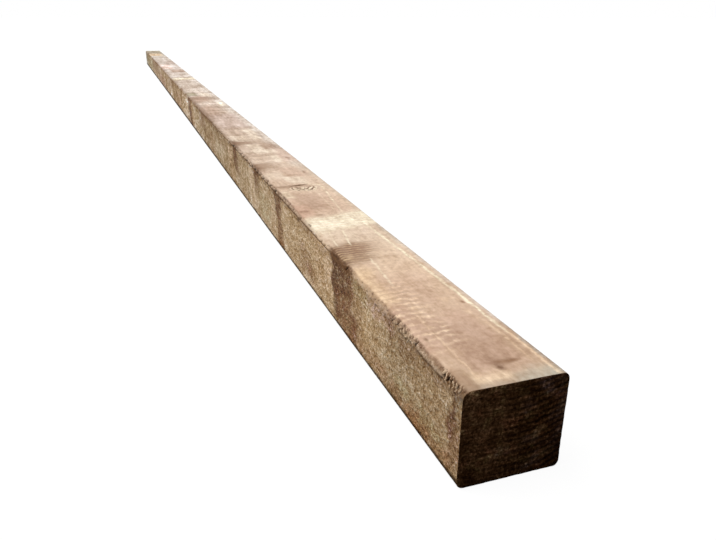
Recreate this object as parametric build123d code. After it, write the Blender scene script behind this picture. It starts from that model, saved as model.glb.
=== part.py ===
"""A treated sawn softwood batten: one solid piece of timber, lying flat.

It lies along X, on its widest face, with its origin at the middle of the underside.
Left and right are as seen by someone who faces the +X end and looks along the batten
towards -X: the left side is -Y and the right side is +Y. Lengths are in millimetres.
"""

import os
from math import atan, degrees

from build123d import *

# Stock size: sawn section and cut length
LENGTH = 2400.0
WIDTH = 50.0
HEIGHT = 47.0

# Eased arrises: the long edges are rounded off, each by its own amount
ARRIS_TOP_LEFT = 4.5
ARRIS_TOP_RIGHT = 3.5
ARRIS_BOTTOM_RIGHT = 3.0
ARRIS_BOTTOM_LEFT = 3.5

# Cross-cut ends: the saw leaves the outline of each end slightly worn
END_WEAR = 0.5

# Torn arris: the saw has plucked a row of chips out of the upper left arris, from the +X end on
TORN_INSET = 6.0
TORN_REACH = 360.0
CHIP_DEPTH = 1.0
CHIP_SPAN = 9.0
CHIP_SKEW = 28.0

# Each chip's place along the torn stretch, then its depth and its span against the full ones
CHIP_SHARES = (
    (0.00, 0.90, 0.80),
    (0.03, 0.70, 0.60),
    (0.09, 0.55, 0.70),
    (0.13, 1.00, 1.00),
    (0.19, 0.60, 0.80),
    (0.27, 0.45, 1.10),
    (0.34, 0.65, 0.90),
    (0.43, 0.95, 1.25),
    (0.53, 0.50, 1.00),
    (0.66, 0.60, 1.30),
    (0.78, 0.75, 1.10),
    (0.90, 0.55, 1.20),
    (1.00, 0.70, 1.00),
)

# Drying check: a short open crack beside the large knot on the upper face
CHECK_INSET = 338.0
CHECK_SIDE_OFFSET = -2.0
CHECK_LENGTH = 15.0
CHECK_WIDTH = 2.2
CHECK_BOTTOM_WIDTH = 1.0
CHECK_DEPTH = 3.0
CHECK_TURN = 12.0

# Every cutter runs this far past the surface that it enters
OVERRUN = 5.0


def sawn_section():
    """The section, seen from the +X end: a rectangle with its four corners rounded."""
    half_width = WIDTH / 2
    corners = (
        (-half_width, 0),
        (half_width, 0),
        (half_width, HEIGHT),
        (-half_width, HEIGHT),
    )
    radii = (ARRIS_BOTTOM_LEFT, ARRIS_BOTTOM_RIGHT, ARRIS_TOP_RIGHT, ARRIS_TOP_LEFT)
    outline = FilletPolyline(*corners, radius=radii, close=True)
    return make_face(Plane.YZ * outline)


def sawn_length():
    """The section run out to its length, with the outline of both ends worn."""
    bar = extrude(sawn_section(), amount=LENGTH / 2, both=True)
    ends = bar.faces().sort_by(Axis.X)
    rims = ends[0].edges() + ends[-1].edges()
    return chamfer(rims, length=END_WEAR)


def chip_cutter(place, depth, span):
    """A round bar laid across the upper left arris, which bites out one shallow chip.

    Its curve makes a chip of the given depth and of the given span along the arris.
    """
    radius = (span**2 / 4 + depth**2) / (2 * depth)
    arris_centre = Location((place, ARRIS_TOP_LEFT - WIDTH / 2, HEIGHT - ARRIS_TOP_LEFT))
    outwards = Rotation(45, 0, 0)
    skew = Rotation(0, 0, CHIP_SKEW)
    lift = Pos(0, 0, ARRIS_TOP_LEFT - depth + radius)
    across = Rotation(90, 0, 0)
    bar = Cylinder(radius, ARRIS_TOP_LEFT + 2 * OVERRUN)
    return arris_centre * outwards * skew * lift * across * bar


def torn_arris():
    """The row of chips along the torn stretch of the upper left arris."""
    first = LENGTH / 2 - TORN_INSET
    return [
        chip_cutter(first - along * TORN_REACH, deep * CHIP_DEPTH, wide * CHIP_SPAN)
        for along, deep, wide in CHIP_SHARES
    ]


def drying_check():
    """A lens-shaped crack, pointed at both ends, that narrows towards its bottom."""
    tip_a = (0, -CHECK_LENGTH / 2)
    tip_b = (0, CHECK_LENGTH / 2)
    belly = CHECK_WIDTH / 2
    rim = ThreePointArc(tip_a, (belly, 0), tip_b) + ThreePointArc(tip_b, (-belly, 0), tip_a)
    place = Pos(LENGTH / 2 - CHECK_INSET, CHECK_SIDE_OFFSET, HEIGHT)
    mouth = place * Rotation(0, 0, CHECK_TURN) * make_face(rim)
    narrowing = degrees(atan((CHECK_WIDTH - CHECK_BOTTOM_WIDTH) / 2 / CHECK_DEPTH))
    crack = extrude(mouth, amount=CHECK_DEPTH, dir=(0, 0, -1), taper=narrowing)
    return crack + extrude(mouth, amount=OVERRUN, dir=(0, 0, 1))


def batten():
    """The finished batten."""
    bar = sawn_length()
    for cutter in torn_arris():
        bar -= cutter
    return bar - drying_check()


os.makedirs("parts", exist_ok=True)
export_step(batten(), "parts/batten.step")
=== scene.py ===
"""A treated sawn softwood batten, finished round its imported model.

The batten lies along X on its widest face. Its near end, the one that the camera sees, is at +X.
Places on it are given in millimetres as along (the distance from the near end), across (Y) and
up (Z). The left side is -Y and the right side is +Y, as seen from the near end. All lengths are in
millimetres, except where a comment says otherwise.
"""

from math import cos, exp, hypot, pi, radians

import bmesh
import bpy
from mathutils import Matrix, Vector, noise


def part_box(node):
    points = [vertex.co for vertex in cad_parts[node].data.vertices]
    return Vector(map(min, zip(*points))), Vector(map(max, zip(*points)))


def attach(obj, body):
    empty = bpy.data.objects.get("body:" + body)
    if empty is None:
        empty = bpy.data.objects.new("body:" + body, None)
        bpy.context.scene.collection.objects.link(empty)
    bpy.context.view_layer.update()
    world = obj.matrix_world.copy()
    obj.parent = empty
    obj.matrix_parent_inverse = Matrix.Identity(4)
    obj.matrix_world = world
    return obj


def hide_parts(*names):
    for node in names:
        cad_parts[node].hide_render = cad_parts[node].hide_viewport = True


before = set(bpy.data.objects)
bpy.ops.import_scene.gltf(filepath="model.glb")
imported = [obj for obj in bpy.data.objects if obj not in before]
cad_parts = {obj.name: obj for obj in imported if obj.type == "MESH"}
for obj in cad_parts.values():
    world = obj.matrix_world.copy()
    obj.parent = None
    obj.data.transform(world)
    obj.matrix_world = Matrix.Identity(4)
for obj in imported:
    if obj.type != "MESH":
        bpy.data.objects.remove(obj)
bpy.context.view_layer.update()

# Units
MM = 0.001
PER_MM = 1000.0

# Stock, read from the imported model: its corners are in metres
LOW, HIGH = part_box("batten")
LENGTH = (HIGH.x - LOW.x) * PER_MM
WIDTH = (HIGH.y - LOW.y) * PER_MM
HEIGHT = (HIGH.z - LOW.z) * PER_MM
NEAR_END = HIGH.x * PER_MM
LEFT = LOW.y * PER_MM
RIGHT = HIGH.y * PER_MM

# Eased arrises: each long edge's radius and the facets that round it, then the ends' worn outline
ARRIS_TOP_LEFT = 4.5
ARRIS_TOP_RIGHT = 3.5
ARRIS_BOTTOM_RIGHT = 3.0
ARRIS_BOTTOM_LEFT = 3.5
TORN_ARRIS_FACETS = 12
ARRIS_FACETS = 5
END_WEAR = 0.5
END_WEAR_FACETS = 2
ROUND_PROFILE = 0.5

# Cells over the width and the height, then each zone's end along the batten and its cells
CELLS_OVER_WIDTH = 28
CELLS_OVER_HEIGHT = 26
LENGTH_ZONES = (
    (24, 38), (60, 48), (140, 76), (240, 76), (360, 72), (500, 60), (720, 60), (1020, 58),
    (1420, 52), (1900, 42), (2400, 34),
)

# Picking parts of the mesh: how near, in metres, is the same place, what share of an edge or a normal
# makes it straight, how many sides a plain end face has at most, how thick the top's skin is, and how
# far round the knot the cells are fine
SAME_PLACE = 0.00001
STRAIGHT_SHARE = 0.999
PLAIN_SIDES = 6
TOP_SKIN = 0.5
KNOT_FINE_REACH = 20.0

# Camera: place, turn in degrees, lens on a sensor of this width, and how far it sees, in metres
CAMERA_PLACE = (1393.99, -137.68, 184.96)
CAMERA_TURN = (68.514, -0.253, 70.499)
CAMERA_LENS = 33.156
CAMERA_SENSOR = 36.0
CAMERA_REACH = 40.0

# Light: a broad soft sun from behind and above the left side, turned and softened in degrees, and a
# pale sky
SUN_TURN = (26.5, -19.7, 0.0)
SUN_SOFTNESS = 50.0
SUN_STRENGTH = 2.6
SUN_COLOUR = (1.0, 0.985, 0.96)
SKY_STRENGTH = 0.3
BACKDROP_STRENGTH = 1.0
WHITE = (1.0, 1.0, 1.0, 1.0)

# Floor: its size and its gap to the batten are in metres
FLOOR_SIZE = 30.0
FLOOR_DROP = 0.0002
FLOOR_BOUNCE = 0.25
FLOOR_GLOW = 1.04
FLOOR_SHADOW_SHARE = 0.09


def place(point):
    """Along, across and up, in millimetres, of a point in metres."""
    return NEAR_END - point.x * PER_MM, point.y * PER_MM, point.z * PER_MM


# Modelling the batten


def pick(piece, kind, wanted):
    """Selects, in edit mode, just those edges or faces that wanted says yes to."""
    select_types = {"edges": "EDGE", "faces": "FACE"}
    bpy.ops.mesh.select_all(action="DESELECT")
    bpy.ops.mesh.select_mode(type=select_types[kind])
    cage = bmesh.from_edit_mesh(piece.data)
    for part in getattr(cage, kind):
        part.select_set(wanted(part))
    cage.select_flush_mode()
    bmesh.update_edit_mesh(piece.data)


def runs(edge, axis):
    """True if the edge runs along that axis."""
    run = edge.verts[1].co - edge.verts[0].co
    return abs(run[axis]) > STRAIGHT_SHARE * run.length


def round_off(radius, facets):
    """Rounds the picked edges off."""
    bpy.ops.mesh.bevel(
        offset=radius * MM,
        offset_type="OFFSET",
        segments=facets,
        profile=ROUND_PROFILE,
        affect="EDGES",
    )


def sawn_blank():
    """A box of the stock's size, left in edit mode."""
    bpy.ops.object.select_all(action="DESELECT")
    size = (HIGH.x - LOW.x, HIGH.y - LOW.y, HIGH.z - LOW.z)
    bpy.ops.mesh.primitive_cube_add(size=1, location=(LOW + HIGH) / 2, scale=size)
    piece = bpy.context.object
    bpy.ops.object.transform_apply(location=True, rotation=True, scale=True)
    bpy.ops.object.mode_set(mode="EDIT")
    return piece


def ease_arrises(piece):
    """Rounds off the four long edges, each by its own radius."""
    corners = (
        (LOW.y, HIGH.z, ARRIS_TOP_LEFT, TORN_ARRIS_FACETS),
        (HIGH.y, HIGH.z, ARRIS_TOP_RIGHT, ARRIS_FACETS),
        (HIGH.y, LOW.z, ARRIS_BOTTOM_RIGHT, ARRIS_FACETS),
        (LOW.y, LOW.z, ARRIS_BOTTOM_LEFT, ARRIS_FACETS),
    )
    for across, up, radius, facets in corners:

        def is_arris(edge):
            start = edge.verts[0].co
            return runs(edge, 0) and hypot(start.y - across, start.z - up) < SAME_PLACE

        pick(piece, "edges", is_arris)
        round_off(radius, facets)


def divide_section(piece):
    """Cuts the four faces into strips, and so both ends into a grid."""
    shortest = HEIGHT * MM / 2
    for axis, cells in ((1, CELLS_OVER_WIDTH), (2, CELLS_OVER_HEIGHT)):
        pick(piece, "edges", lambda edge: runs(edge, axis) and edge.calc_length() > shortest)
        bpy.ops.mesh.subdivide(number_cuts=cells - 1)


def is_end_face(face):
    """True for a face of either cross-cut end."""
    return abs(face.normal.x) > STRAIGHT_SHARE


def wear_ends(piece):
    """Takes the sharp outline off both ends."""
    pick(piece, "edges", lambda edge: sum(is_end_face(face) for face in edge.link_faces) == 1)
    round_off(END_WEAR, END_WEAR_FACETS)


def divide_length(piece):
    """Cuts the batten across into cells that are shortest at the near end."""
    start = END_WEAR
    for end, cells in LENGTH_ZONES:
        if end < LENGTH:
            bpy.ops.mesh.select_all(action="SELECT")
            bpy.ops.mesh.bisect(plane_co=(HIGH.x - end * MM, 0, 0), plane_no=(1, 0, 0))
        middle = HIGH.x - (start + end) / 2 * MM

        def spans_zone(edge):
            ends = sorted(vert.co.x for vert in edge.verts)
            return runs(edge, 0) and ends[0] < middle < ends[1]

        pick(piece, "edges", spans_zone)
        bpy.ops.mesh.subdivide(number_cuts=cells - 1)
        start = end


def refine_ends(piece):
    """Halves the cells of both ends and fills their rounded corners with fans."""
    pick(piece, "faces", is_end_face)
    bpy.ops.mesh.subdivide(number_cuts=1)
    pick(piece, "faces", lambda face: is_end_face(face) and len(face.verts) > PLAIN_SIDES)
    bpy.ops.mesh.poke()


def refine_knot(piece):
    """Makes the cells round the knot and its drying check fine enough for their cracks."""

    def is_knot(face):
        along, across, up = place(face.calc_center_median())
        near = max(abs(along - KNOT_ALONG), abs(across - KNOT_ACROSS)) < KNOT_FINE_REACH
        return near and up > HEIGHT - TOP_SKIN

    pick(piece, "faces", is_knot)
    bpy.ops.mesh.subdivide(number_cuts=2)


# Relief: each kind of mark is sunk into the mesh where its cover is above zero


def smooth(value, low, high):
    """0 up to low and 1 from high on, or the other way round if low is above high."""
    share = min(max((value - low) / (high - low), 0.0), 1.0)
    return share * share * (3 - 2 * share)


def window(value, start, end, soft):
    """1 between start and end, fading to 0 over soft outside them."""
    return smooth(value, start - soft, start) * smooth(value, end + soft, end)


def follow(value, stops):
    """The level at value, on straight runs between stops of (value, level)."""
    before = stops[0]
    for after in stops:
        if value <= after[0]:
            share = (value - before[0]) / max(after[0] - before[0], 1.0)
            return before[1] + share * (after[1] - before[1])
        before = after
    return before[1]


def patchy(x, y, z):
    """Noise from about -1 to 1, at a place that is given in patch sizes."""
    return noise.noise(Vector((x, y, z)))


# A cover that is thinner than this isn't sunk
LEAST_COVER_SHARE = 0.003


def press_in(piece, name, depth, cover):
    """Sinks the surface by depth where cover(along, across, up) is 1, and less where it is less."""
    group = piece.vertex_groups.new(name=name)
    for vertex in piece.data.vertices:
        share = cover(*place(vertex.co))
        if share > LEAST_COVER_SHARE:
            group.add([vertex.index], min(share, 1.0), "REPLACE")
    sink = piece.modifiers.new(name, "DISPLACE")
    sink.direction = "NORMAL"
    sink.mid_level = 0.0
    sink.strength = -depth * MM
    sink.vertex_group = group.name
    bpy.context.view_layer.objects.active = piece
    bpy.ops.object.modifier_apply(modifier=sink.name)
    piece.vertex_groups.remove(piece.vertex_groups[name])


# Wander of the faces: its depth, and the run and span of its swells
WANDER_DEPTH = 0.3
WANDER_RUN = 80.0
WANDER_SPAN = 26.0


def wandering(along, across, up):
    """The saw's slow wander along the faces, and the ends' unevenness."""
    return 0.5 + 0.5 * patchy(along / WANDER_RUN, across / WANDER_SPAN, up / WANDER_SPAN)


# Torn fibres: how deep they are on the left side, the shares of that on the other faces, the run and
# span of their tufts, and the heights between which the top and the underside take over
FUZZ_DEPTH = 0.4
FUZZ_TOP_SHARE = 0.2
FUZZ_RIGHT_SHARE = 0.45
FUZZ_UNDER_SHARE = 0.25
FUZZ_RUN = 2.6
FUZZ_SPAN = 2.4
FUZZ_TOP_RISE = (HEIGHT - ARRIS_TOP_LEFT, HEIGHT - 1.0)
FUZZ_UNDER_FALL = (7.0, 1.0)


def torn_fibres(along, across, up):
    """The fuzz that the saw leaves, roughest on the sides."""
    spot = Vector((along / FUZZ_RUN, across / FUZZ_SPAN, up / FUZZ_SPAN))
    rough = abs(noise.noise(spot)) + 0.7 * abs(noise.noise(spot * 0.43 + Vector((7.0, 0.0, 0.0))))
    on_top = smooth(up, *FUZZ_TOP_RISE)
    on_right = smooth(across, RIGHT - ARRIS_TOP_RIGHT, RIGHT)
    underneath = smooth(up, *FUZZ_UNDER_FALL)
    faces = (1 - on_top * (1 - FUZZ_TOP_SHARE)) * (1 - on_right * (1 - FUZZ_RIGHT_SHARE))
    return rough * faces * (1 - underneath * (1 - FUZZ_UNDER_SHARE))


# Saw ripples over the top face: their pitch and depth, where along they are strongest (start, end and
# softness), where across they fade, their heights, and how far they bend with the bend's run and span
RIPPLE_PITCH = 5.6
RIPPLE_DEPTH = 0.08
RIPPLE_STRONGEST = (35.0, 130.0, 20.0)
RIPPLE_FADE = (-6.0, 8.0)
RIPPLE_RISE = (HEIGHT - 2.0, HEIGHT - 0.5)
RIPPLE_BEND = 2.2
RIPPLE_BEND_RUN = 30.0
RIPPLE_BEND_SPAN = 22.0
RIPPLE_LEAST_SHARE = 0.15
RIPPLE_FADED_SHARE = 0.8


def saw_ripple(along, across, up):
    """The ripples that the saw leaves across the top face, strongest near the end."""
    faded = 1 - RIPPLE_FADED_SHARE * smooth(across, *RIPPLE_FADE)
    strength = window(along, *RIPPLE_STRONGEST) * faded
    share = RIPPLE_LEAST_SHARE + (1 - RIPPLE_LEAST_SHARE) * strength
    bend = RIPPLE_BEND * patchy(along / RIPPLE_BEND_RUN, across / RIPPLE_BEND_SPAN, 0.0)
    return smooth(up, *RIPPLE_RISE) * share * (0.5 + 0.5 * cos(2 * pi * (along + bend) / RIPPLE_PITCH))


# The upper left arris reaches this far down plus inwards from the edge that it would have unrounded
ARRIS_REACH = 3.0 * ARRIS_TOP_LEFT


def on_arris(cover):
    """Keeps a cover to the upper left arris, and hands it the turn in place of across and up.

    Turn is how far round the arris a place is: below zero on the top, above it down the side.
    """

    def kept_to_arris(along, across, up):
        down = HEIGHT - up
        inwards = across - LEFT
        return 0.0 if down + inwards > ARRIS_REACH else cover(along, down - inwards)

    return kept_to_arris


# Torn fibres of the arris: their depth, their run near the end and how much longer it gets between
# two places along, their span, where round the arris they lie (start, end and softness), and their
# share along the batten
TORN_DEPTH = 0.7
TORN_RUN = 1.5
TORN_RUN_GAIN = 1.2
TORN_RUN_GROWTH = (80.0, 400.0)
TORN_SPAN = 2.9
TORN_TURN = (-2.0, 4.6, 2.2)
TORN_SHARES = (
    (0, 0.3), (7, 0.45), (18, 0.45), (22, 0.15), (42, 0.1), (48, 0.55), (75, 0.6), (90, 0.35),
    (130, 0.35), (142, 0.55), (175, 0.5), (200, 0.3), (245, 0.45), (340, 0.6), (395, 0.65),
    (560, 0.6), (1000, 0.35), (1400, 0.2), (2400, 0.15),
)


@on_arris
def torn(along, turn):
    """The ragged, plucked fibres along the upper left arris."""
    run = TORN_RUN + TORN_RUN_GAIN * smooth(along, *TORN_RUN_GROWTH)
    spot = Vector((along / run + 0.25 * turn, turn / TORN_SPAN, 4.0))
    ragged = noise.noise(spot) + 0.5 * noise.noise(spot * 2.3)
    cover = smooth(ragged + follow(along, TORN_SHARES), 0.62, 1.0)
    return cover * window(turn, *TORN_TURN)


# Chips out of the same arris: along, length, how far round, depth share. Each one's middle is a little
# way round the arris, and its outline is ragged by patches of this run and span
CHIP_DEPTH = 1.3
CHIP_TURN = 1.0
CHIP_RAGGED_RUN = 1.3
CHIP_RAGGED_SPAN = 1.6
CHIPS = (
    (4.4, 1.2, 2.6, 0.6), (7.4, 1.2, 3, 0.8), (9.9, 1, 2.8, 0.6), (12.4, 1.3, 3.6, 1),
    (15.2, 1.4, 3.8, 1), (18.4, 1.3, 3.2, 1), (38.4, 1.6, 2, 0.2), (47, 2.4, 3.2, 1),
    (50.4, 1.2, 2.4, 0.5), (53.2, 1.3, 2.6, 0.6), (56, 1.2, 2.2, 0.4), (58.8, 1.3, 2.4, 0.5),
    (63, 1.4, 2.4, 0.5), (69, 2, 2.8, 0.8), (74, 1.8, 2.4, 0.6), (103, 2.4, 1.6, 0.3),
    (146, 3, 3, 0.8), (166, 3.6, 2.4, 0.5), (197, 3.4, 2, 0.5), (250, 4, 2.4, 0.6),
    (286, 4.6, 2.4, 0.5), (331, 6, 3, 0.9), (352, 5, 2.4, 0.7), (364, 4.6, 2.6, 0.8),
    (379, 6, 2.4, 0.7), (393, 5, 2.6, 0.8), (405, 5, 2.6, 0.8), (418, 6, 2.8, 0.9),
    (433, 6, 2.6, 0.7), (446, 6, 2.4, 0.6), (460, 6, 2.4, 0.7), (477, 6, 2.6, 0.8),
    (494, 6, 2.4, 0.6), (511, 7, 2.6, 0.7), (526, 8, 2.6, 0.8), (540, 9, 2.8, 0.9),
    (563, 7, 2, 0.5), (708, 10, 2.4, 0.5), (766, 10, 2.4, 0.5), (978, 12, 2.6, 0.7),
)


@on_arris
def chipped(along, turn):
    """The deeper chips along the upper left arris."""
    deepest = 0.0
    for centre, length, reach, depth in CHIPS:
        gap = along - centre
        if abs(gap) > length * 1.6:
            continue
        skewed = gap - 0.06 * length * turn
        ragged = 0.5 * patchy(along / CHIP_RAGGED_RUN, turn / CHIP_RAGGED_SPAN, centre)
        shape = (skewed / (0.5 * length)) ** 2 + ((turn - CHIP_TURN) / reach) ** 2 + ragged
        deepest = max(deepest, depth * (1 - smooth(shape, 0.25, 1.15)))
    return deepest


# Ledge: a raised lip of torn fibres along the arris, and the groove under it. How far round the arris
# they lie along the batten, their shares there, and their widths and wobbles, each with its run
LEDGE_DEPTH = 0.5
LEDGE_HALF_WIDTH = 0.75
LEDGE_WOBBLE = 0.4
LEDGE_WOBBLE_RUN = 9.0
LEDGE_PATCH_RUN = 6.0
LIP_GAP = (-3.0, -1.2, 1.0)
LIP_WOBBLE = 1.4
LIP_WOBBLE_RUN = 3.4
LIP_LUMP_RUN = 2.0
LIP_LUMP_SPAN = 2.2
LEDGE_TURN = (
    (0, 4.4), (90, 4.2), (180, 2.5), (400, 2.2), (1000, 1.6),
)
LIP_SHARES = (
    (17, 0), (21, 1), (44, 1), (60, 0.55), (130, 0.6), (140, 0), (176, 0), (184, 0.7), (345, 0.7),
    (375, 0.4), (540, 0.4), (1300, 0),
)
LEDGE_SHARES = (
    (0, 0), (17, 0.1), (21, 0.7), (44, 0.7), (50, 0.2), (120, 0.1), (172, 0.2), (184, 1), (345, 1),
    (375, 0.9), (420, 1), (560, 0.8), (800, 0.4), (1300, 0),
)


@on_arris
def lip(along, turn):
    """The pale raised lip, just above the groove."""
    wobble = LIP_WOBBLE * patchy(along / LIP_WOBBLE_RUN, 0.0, 14.0)
    gap = turn - follow(along, LEDGE_TURN) + wobble
    lumps = 0.6 + 1.2 * patchy(along / LIP_LUMP_RUN, gap / LIP_LUMP_SPAN, 5.0)
    return max(window(gap, *LIP_GAP) * follow(along, LIP_SHARES) * lumps, 0.0)


@on_arris
def ledge(along, turn):
    """The groove under the lip of the arris."""
    wobble = LEDGE_WOBBLE * patchy(along / LEDGE_WOBBLE_RUN, 0.0, 8.0)
    gap = turn - follow(along, LEDGE_TURN) + wobble
    uneven = 0.85 + 0.4 * patchy(along / LEDGE_PATCH_RUN, 0.0, 3.0)
    return exp(-((gap / LEDGE_HALF_WIDTH) ** 2)) * follow(along, LEDGE_SHARES) * uneven


# Weathering of the arris: the run and span of its patches, the places along between which it turns
# bolder, how far it fades out over the top and down the side, and its share along the batten
DARK_RUN = 5.0
DARK_RUN_SLOPE = 0.04
DARK_SPAN = 5.0
DARK_FAR = (230.0, 450.0)
DARK_STRAY = 1.2
DARK_FAR_STRAY = 1.4
DARK_TOP_EDGE = -1.0
DARK_TOP_REACH = 3.3
DARK_TOP_FAR_REACH = 2.0
DARK_TOP_LAST_REACH = 2.5
DARK_TOP_LAST = (500.0, 900.0)
DARK_SIDE_EDGE = 1.2
DARK_SIDE_REACH = 9.5
DARK_SIDE_LOSS = 1.7
DARK_SIDE_NARROWS = (20.0, 60.0)
ARRIS_DARK_SHARES = (
    (0, 0.7), (18, 1), (24, 0.6), (34, 0.6), (42, 0.75), (60, 0.6), (90, 0.5), (128, 0.4),
    (142, 0.95), (174, 0.95), (184, 0.15), (210, 0.2), (230, 0.45), (255, 0.65), (308, 0.65),
    (320, 0.8), (338, 0.75), (348, 0.4), (396, 0.4), (406, 0.95), (426, 1), (438, 0.45),
    (514, 0.45), (526, 1), (552, 1), (570, 0.6), (800, 0.72), (1250, 0.8), (1400, 0.5),
    (2400, 0.35),
)


@on_arris
def dark_arris(along, turn):
    """The brown that runs along the arris, and fades out over the top and down the side."""
    run = DARK_RUN + DARK_RUN_SLOPE * along
    far = smooth(along, *DARK_FAR)
    strayed = turn + (DARK_STRAY + DARK_FAR_STRAY * far) * patchy(along / run, turn / DARK_SPAN, 6.0)
    top_reach = DARK_TOP_REACH + DARK_TOP_FAR_REACH * far
    top_reach += DARK_TOP_LAST_REACH * smooth(along, *DARK_TOP_LAST)
    side_reach = DARK_SIDE_REACH - DARK_SIDE_LOSS * smooth(along, *DARK_SIDE_NARROWS)
    on_top = smooth(strayed, -top_reach, DARK_TOP_EDGE)
    down_side = smooth(strayed, DARK_SIDE_EDGE, side_reach)
    uneven = 1 + (0.2 + 0.8 * far) * patchy(along / run, 0.0, 21.0)
    return on_top * (1 - down_side) * follow(along, ARRIS_DARK_SHARES) * uneven


# Large knot on the top face, and the open drying check beside it, both above this height
TOP_LOWEST = HEIGHT - 2.0
KNOT_ALONG = 329.0
KNOT_ACROSS = 0.0
KNOT_REACH_ALONG = 9.0
KNOT_REACH_ACROSS = 10.0
KNOT_RELIEF = 0.45
KNOT_PATCH = 4.0
KNOT_NEAR_SIDE = (KNOT_ALONG + 3.0, KNOT_ALONG - 5.0)
CHECK_ALONG = 338.0
CHECK_ACROSS = -2.0
CHECK_LENGTH = 15.0
CHECK_WIDTH = 2.2
CHECK_LEAN = 0.21
CHECK_DEPTH = 3.0
CHECK_SOFTNESS = 0.3


def drying_check(along, across, up):
    """The open check: lens-shaped and pointed at both ends."""
    run = across - CHECK_ACROSS
    gap = abs(along - CHECK_ALONG - CHECK_LEAN * run)
    half = CHECK_WIDTH / 2 * (1 - (2 * run / CHECK_LENGTH) ** 2)
    if half <= 0 or up < TOP_LOWEST:
        return 0.0
    return 1 - smooth(gap, 0.25 * half, half + CHECK_SOFTNESS)


def knot_dish(along, across, up):
    """Where the wood dips round the knot, with the curled cracks of its near side."""
    if up < TOP_LOWEST:
        return 0.0
    reach = hypot((along - KNOT_ALONG) / KNOT_REACH_ALONG, (across - KNOT_ACROSS) / KNOT_REACH_ACROSS)
    ragged = 0.25 * patchy(along / KNOT_PATCH, across / KNOT_PATCH, 0.0)
    rings = 0.5 + 0.5 * cos(2 * pi * (reach + ragged) * 3.4)
    near_side = smooth(along, *KNOT_NEAR_SIDE)
    return (1 - smooth(reach, 0.7, 1.5)) * (0.35 + 0.65 * rings * near_side)


# Roughness of the cut ends: its depth, and the span and height of its patches
END_ROUGHNESS = 0.25
END_PATCH_SPAN = 5.0
END_PATCH_HEIGHT = 3.0

# Faces within this reach of an end, and whose normal points at least this much along, are cut ends
END_REACH = 1.6
END_SLOPE = 0.4


def end_roughness(along, across, up):
    """The saw's unevenness over both cross-cut ends."""
    if END_WEAR / 2 < along < LENGTH - END_WEAR / 2:
        return 0.0
    spot = Vector((across / END_PATCH_SPAN, up / END_PATCH_HEIGHT, along))
    return 0.5 + 0.5 * noise.noise(spot) + 0.3 * noise.noise(spot * 2.1)


def save_field(piece, name, field):
    """Keeps a number for each vertex, for the finish to read."""
    layer = piece.data.attributes.new(name, "FLOAT", "POINT")
    layer.data.foreach_set("value", [field(*place(vertex.co)) for vertex in piece.data.vertices])


# The covers that the mesh keeps for the finish
KEPT_COVERS = {
    "torn": torn,
    "chips": chipped,
    "dark_arris": dark_arris,
    "ledge": ledge,
    "lip": lip,
    "check": drying_check,
}

# The relief in the order in which it is sunk: name, depth and cover
RELIEF = (
    ("ends", END_ROUGHNESS, end_roughness),
    ("wander", WANDER_DEPTH, wandering),
    ("fibres", FUZZ_DEPTH, torn_fibres),
    ("ripple", RIPPLE_DEPTH, saw_ripple),
    ("ledge", LEDGE_DEPTH, ledge),
    ("torn", TORN_DEPTH, torn),
    ("chips", CHIP_DEPTH, chipped),
    ("knot", KNOT_RELIEF, knot_dish),
    ("check", CHECK_DEPTH, drying_check),
)

# Faces that meet at more than this angle, in degrees, keep a sharp edge between them
SHARP_ANGLE = 60.0


def batten_mesh():
    """The batten's own mesh, with its relief."""
    piece = sawn_blank()
    for cut in (ease_arrises, divide_section, wear_ends, divide_length, refine_ends, refine_knot):
        cut(piece)
    bpy.ops.object.mode_set(mode="OBJECT")
    for name, cover in KEPT_COVERS.items():
        save_field(piece, name, cover)
    for name, depth, cover in RELIEF:
        press_in(piece, name, depth, cover)
    bpy.ops.object.shade_smooth_by_angle(angle=radians(SHARP_ANGLE))
    return piece


# Node trees: a field is what a node gives, and fields of numbers add and multiply like numbers


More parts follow.
